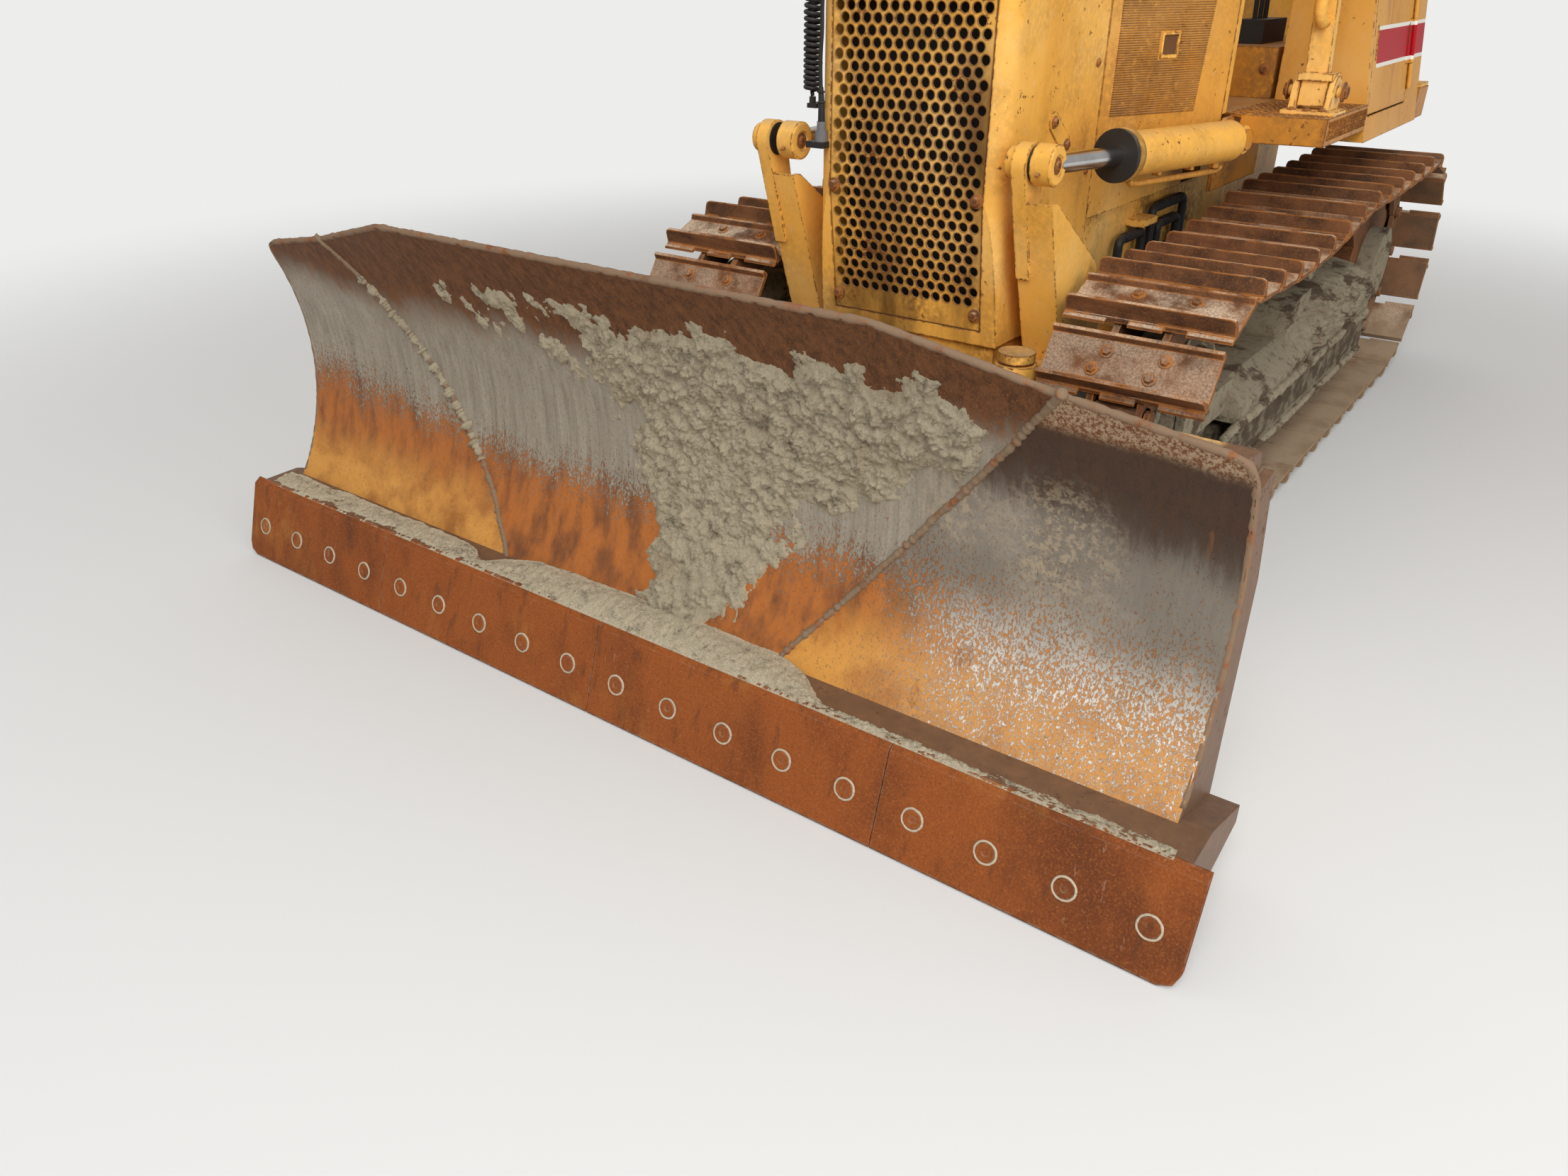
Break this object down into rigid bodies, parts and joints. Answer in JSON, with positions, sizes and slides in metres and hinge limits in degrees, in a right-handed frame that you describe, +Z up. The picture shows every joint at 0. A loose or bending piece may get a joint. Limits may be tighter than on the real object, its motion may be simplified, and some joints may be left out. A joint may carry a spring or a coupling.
{
  "type": "crawler bulldozer",
  "caption": "Small crawler bulldozer with a wide angling and tilting blade on a C-shaped push frame, lift cylinders, open operator's platform under a roof.",
  "frame": {"origin": "on the ground under the middle of the whole machine", "axes": "-Y forward, towards the blade, +X to the machine's left, +Z up"},
  "size_m": [2.728, 4.246, 2.62],
  "materials": {
    "chrome_rod": "polished",
    "dark_metal": "matt",
    "hose_rubber": "matt",
    "rusty_steel": "rusty",
    "seat_cover": "matt",
    "worn_steel": "worn and rust stained",
    "yellow_paint": "weathered satin"
  },
  "bodies": {
    "chassis": {"cable_coil": "hose_rubber", "cable_fittings": "dark_metal", "cable_lead": "hose_rubber", "cable_plug": "hose_rubber", "control_levers": "dark_metal", "dash_cowl": "yellow_paint", "drawbar": "yellow_paint", "engine": "dark_metal", "engine_panels": "yellow_paint", "final_drives": "yellow_paint", "front_grille": "yellow_paint", "fuel_tank": "yellow_paint", "hood_stacks": "dark_metal", "hood_top": "yellow_paint", "hydraulic_hoses": "hose_rubber", "idlers": "rusty_steel", "main_frame": "yellow_paint", "platform": "yellow_paint", "radiator_guard": "yellow_paint", "rops_posts": "yellow_paint", "rops_roof": "yellow_paint", "seat": "seat_cover", "seat_riser": "yellow_paint", "side_boxes": "yellow_paint", "sprockets": "rusty_steel", "track_frames": "yellow_paint", "track_left": "rusty_steel", "track_right": "rusty_steel", "track_rollers": "rusty_steel", "work_lamps": "dark_metal"},
    "c_frame": {"c_frame": "yellow_paint", "lift_towers": "yellow_paint"},
    "yoke": {"angle_yoke": "yellow_paint"},
    "blade": {"moldboard": "worn_steel", "blade_frame": "yellow_paint", "cutting_edges": "rusty_steel"},
    "tilt_barrel": {"tilt_barrel": "yellow_paint"},
    "tilt_rod": {"tilt_rod": "chrome_rod"},
    "lift_barrel_left": {"lift_barrel_left": "yellow_paint"},
    "lift_rod_left": {"lift_rod_left": "chrome_rod"},
    "angle_barrel_left": {"angle_barrel_left": "yellow_paint"},
    "angle_rod_left": {"angle_rod_left": "chrome_rod"},
    "box_door_left": {"box_door_left": "yellow_paint"},
    "lift_barrel_right": {"lift_barrel_right": "yellow_paint"},
    "lift_rod_right": {"lift_rod_right": "chrome_rod"},
    "angle_barrel_right": {"angle_barrel_right": "yellow_paint"},
    "angle_rod_right": {"angle_rod_right": "chrome_rod"},
    "box_door_right": {"box_door_right": "yellow_paint"}
  },
  "joints": [
    {"name": "lift", "type": "hinge", "parent": "chassis", "child": "c_frame", "pos_m": [0, 0.403, 0.48], "axis": [-1, 0, 0], "range_deg": [-9, 18.5]},
    {"name": "angle", "type": "hinge", "parent": "c_frame", "child": "yoke", "pos_m": [0, -1.597, 0.33], "axis": [0, 0, 1], "range_deg": [-25, 25]},
    {"name": "tilt", "type": "hinge", "parent": "yoke", "child": "blade", "pos_m": [0, -1.747, 0.34], "axis": [0, 1, 0], "range_deg": [-8, 8]},
    {"name": "lift_barrel_left_turn", "type": "hinge", "parent": "chassis", "child": "lift_barrel_left", "pos_m": [0.56, 0.138, 1.037], "axis": [0.9833, -0.161, 0.0849], "range_deg": [-25.63, 12.85]},
    {"name": "lift_rod_left_slide", "type": "slide", "parent": "lift_barrel_left", "child": "lift_rod_left", "axis": [-0.1638, -0.9861, 0.0276], "range_m": [-0.163, 0.0818]},
    {"name": "lift_barrel_right_turn", "type": "hinge", "parent": "chassis", "child": "lift_barrel_right", "pos_m": [-0.56, 0.138, 1.037], "axis": [0.9776, 0.1925, -0.0849], "range_deg": [-25.68, 12.87]},
    {"name": "lift_rod_right_slide", "type": "slide", "parent": "lift_barrel_right", "child": "lift_rod_right", "axis": [0.1955, -0.9803, 0.0275], "range_m": [-0.1607, 0.0806]},
    {"name": "angle_barrel_left_turn", "type": "hinge", "parent": "c_frame", "child": "angle_barrel_left", "pos_m": [0.378, -0.847, 0.53], "axis": [0, 0, 1], "range_deg": [-0.79, 0.79]},
    {"name": "angle_rod_left_slide", "type": "slide", "parent": "angle_barrel_left", "child": "angle_rod_left", "axis": [0.0559, -0.9984, 0], "range_m": [-0.1855, 0.1855]},
    {"name": "angle_barrel_right_turn", "type": "hinge", "parent": "c_frame", "child": "angle_barrel_right", "pos_m": [-0.378, -0.847, 0.53], "axis": [0, 0, 1], "range_deg": [-0.79, 0.79]},
    {"name": "angle_rod_right_slide", "type": "slide", "parent": "angle_barrel_right", "child": "angle_rod_right", "axis": [-0.0559, -0.9984, 0], "range_m": [-0.1855, 0.1855]},
    {"name": "tilt_barrel_turn", "type": "hinge", "parent": "yoke", "child": "tilt_barrel", "pos_m": [0, -1.802, 0.72], "axis": [0, 1, 0], "range_deg": [-8.32, 8.32]},
    {"name": "tilt_rod_slide", "type": "slide", "parent": "tilt_barrel", "child": "tilt_rod", "axis": [1, 0, 0], "range_m": [-0.0551, 0.0551]},
    {"name": "box_door_left_hinge", "type": "hinge", "parent": "chassis", "child": "box_door_left", "pos_m": [0.76625, 1.309, 1.26], "axis": [-0.1289, 0, 0.9917], "range_deg": [0, 100]},
    {"name": "box_door_right_hinge", "type": "hinge", "parent": "chassis", "child": "box_door_right", "pos_m": [-0.76625, 1.309, 1.26], "axis": [-0.1289, 0, -0.9917], "range_deg": [0, 100]}
  ],
  "couplings": [
    {"joint": "lift_barrel_left_turn", "follows": "lift", "ratio": -1.3456},
    {"joint": "lift_rod_left_slide", "follows": "lift", "m_per_rad": -0.48998},
    {"joint": "lift_barrel_right_turn", "follows": "lift", "ratio": -1.348},
    {"joint": "lift_rod_right_slide", "follows": "lift", "m_per_rad": -0.48291},
    {"joint": "angle_barrel_left_turn", "follows": "angle", "ratio": 0.03046},
    {"joint": "angle_rod_left_slide", "follows": "angle", "m_per_rad": -0.40848},
    {"joint": "angle_barrel_right_turn", "follows": "angle", "ratio": 0.03046},
    {"joint": "angle_rod_right_slide", "follows": "angle", "m_per_rad": 0.40848},
    {"joint": "tilt_barrel_turn", "follows": "tilt", "ratio": 1},
    {"joint": "tilt_rod_slide", "follows": "tilt", "m_per_rad": 0.37877}
  ]
}
